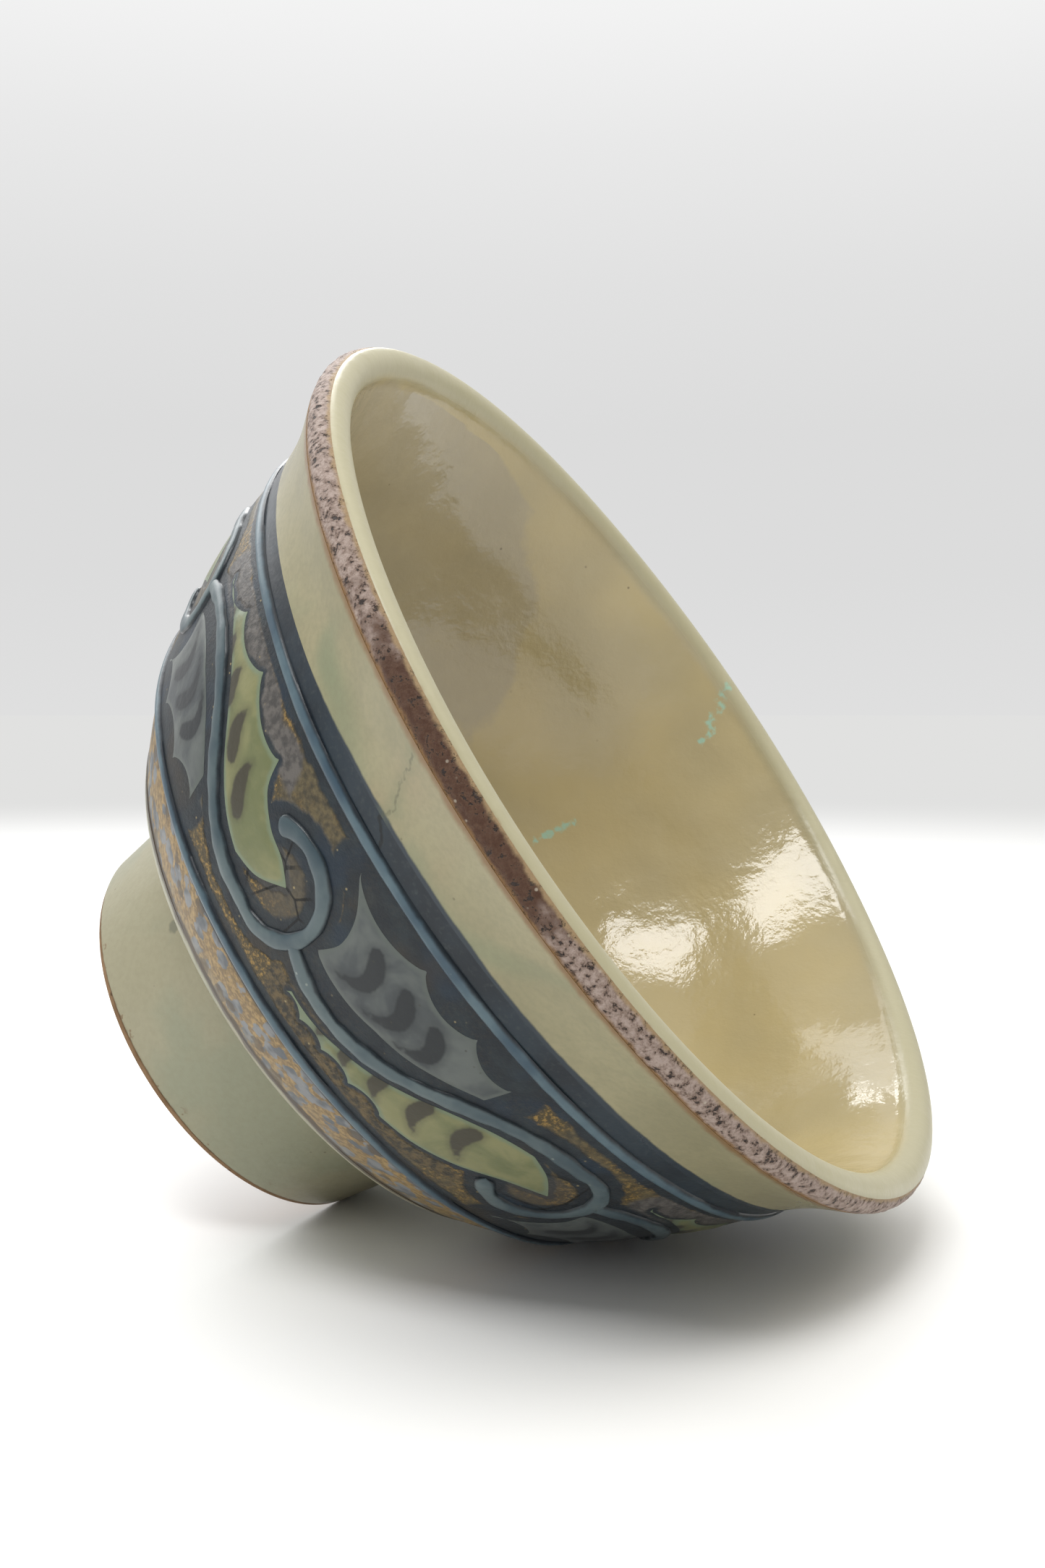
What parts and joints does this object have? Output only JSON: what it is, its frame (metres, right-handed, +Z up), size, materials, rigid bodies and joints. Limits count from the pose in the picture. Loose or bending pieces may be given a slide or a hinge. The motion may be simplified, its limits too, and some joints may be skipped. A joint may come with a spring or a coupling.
{
  "type": "shaving bowl",
  "caption": "Footed ceramic lather bowl with a rolled lip and a raised scroll frieze, resting on its side on its foot and belly.",
  "frame": {"origin": "on the floor, under the centre of the bounding box, with the bowl lying on its side as it rests", "axes": "+Z up from the floor; the mouth opens towards +X and the foot points to -X; +Y across the bowl, along the rim's full width; the bowl's own axis lies in the XZ plane, rising 32.75 degrees towards +X, and is the reverse of the foot_rest mount's axis"},
  "size_m": [0.1132, 0.1296, 0.1189],
  "materials": {
    "clay": "bare fired stoneware, matte",
    "cream_liner": "glossy cream-olive liner glaze",
    "iron_wash": "rough iron wash, brown to mauve-grey",
    "celadon": "satin-gloss celadon glaze",
    "foot_celadon": "satin celadon glaze",
    "navy": "dark blue-black painted stripe under glaze",
    "blue_slip": "raised pale blue-grey slip under glaze",
    "ochre_ground": "dark olive and speckled ochre ground",
    "slate": "slate-grey glaze with dark brush strokes",
    "leaf_green": "yellow-green glaze with dark brush strokes",
    "speckle": "mottled lilac-grey over ochre"
  },
  "bodies": {
    "root": {"bowl_wall": "clay", "foot_ring": "clay", "interior_glaze": "cream_liner", "lip_iron_band": "iron_wash", "neck_glaze": "celadon", "navy_stripe": "navy", "upper_slip_cord": "blue_slip", "frieze_ground": "ochre_ground", "lower_slip_cord": "blue_slip", "speckled_collar": "speckle", "underside_glaze": "foot_celadon", "foot_glaze": "foot_celadon", "scroll_stem_1": "blue_slip", "slate_leaf_1": "slate", "green_leaf_1": "leaf_green", "scroll_stem_2": "blue_slip", "slate_leaf_2": "slate", "green_leaf_2": "leaf_green", "scroll_stem_3": "blue_slip", "slate_leaf_3": "slate", "green_leaf_3": "leaf_green", "scroll_stem_4": "blue_slip", "slate_leaf_4": "slate", "green_leaf_4": "leaf_green", "scroll_stem_5": "blue_slip", "slate_leaf_5": "slate", "green_leaf_5": "leaf_green", "scroll_stem_6": "blue_slip", "slate_leaf_6": "slate", "green_leaf_6": "leaf_green", "scroll_stem_7": "blue_slip", "slate_leaf_7": "slate", "green_leaf_7": "leaf_green", "scroll_stem_8": "blue_slip", "slate_leaf_8": "slate", "green_leaf_8": "leaf_green"}
  },
  "joints": []
}
